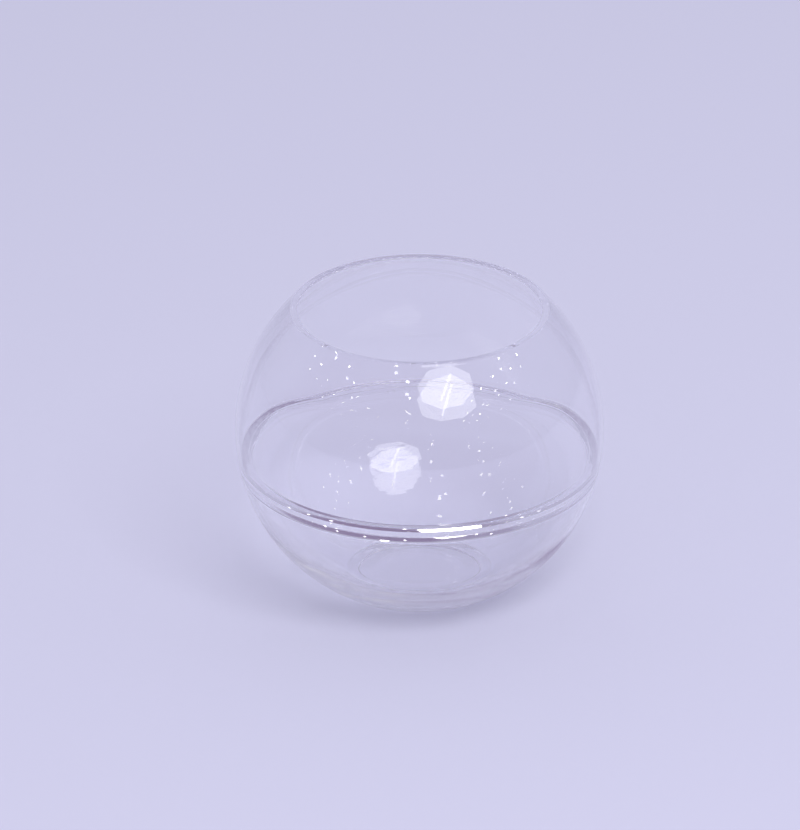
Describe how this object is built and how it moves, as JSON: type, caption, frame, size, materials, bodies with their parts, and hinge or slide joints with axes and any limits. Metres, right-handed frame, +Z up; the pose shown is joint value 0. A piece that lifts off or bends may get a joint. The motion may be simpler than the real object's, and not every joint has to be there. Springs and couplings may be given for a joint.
{
  "type": "rose bowl vase",
  "caption": "Clear globe vase with a wide flat-cut mouth and a flat foot, moulded in halves whose flanges meet below its widest part, for short-stemmed flowers on a table.",
  "frame": {"origin": "middle of the foot, on the surface that the bowl stands on", "axes": "+Z up along the axis of revolution; +X and +Y are any two level directions at right angles, because the bowl is round"},
  "size_m": [0.1, 0.1, 0.0811],
  "materials": {
    "clear_plastic": "polished"
  },
  "bodies": {
    "root": {"lower_bowl": "clear_plastic", "upper_shell": "clear_plastic"}
  },
  "joints": []
}
